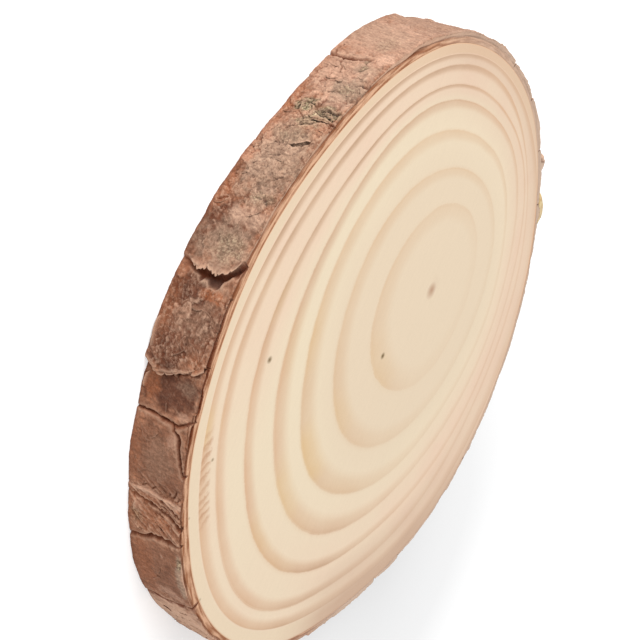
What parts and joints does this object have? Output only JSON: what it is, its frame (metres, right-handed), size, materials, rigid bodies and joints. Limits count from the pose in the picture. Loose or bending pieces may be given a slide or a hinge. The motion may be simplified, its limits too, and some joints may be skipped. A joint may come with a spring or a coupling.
{
  "type": "wood slice",
  "caption": "Thin round slice sawn across a pine stem, with its bark on, lying flat as a coaster, candle stand or craft blank.",
  "frame": {"origin": "under the middle of the bounding box, on the lower sawn face", "axes": "+Z along the stem, out of the upper sawn face; the pith lies towards -X, and -Y faces the side of the bark that the picture shows"},
  "size_m": [0.1112, 0.1112, 0.01],
  "materials": {
    "sawn_pine": "dry, matt, freshly sawn end grain with pale and tan growth rings",
    "pine_bark": "rough, matt, red-brown flaking bark",
    "resin": "hardened amber resin, slightly glossy"
  },
  "bodies": {
    "root": {"wood_slice": "sawn_pine"}
  },
  "joints": []
}
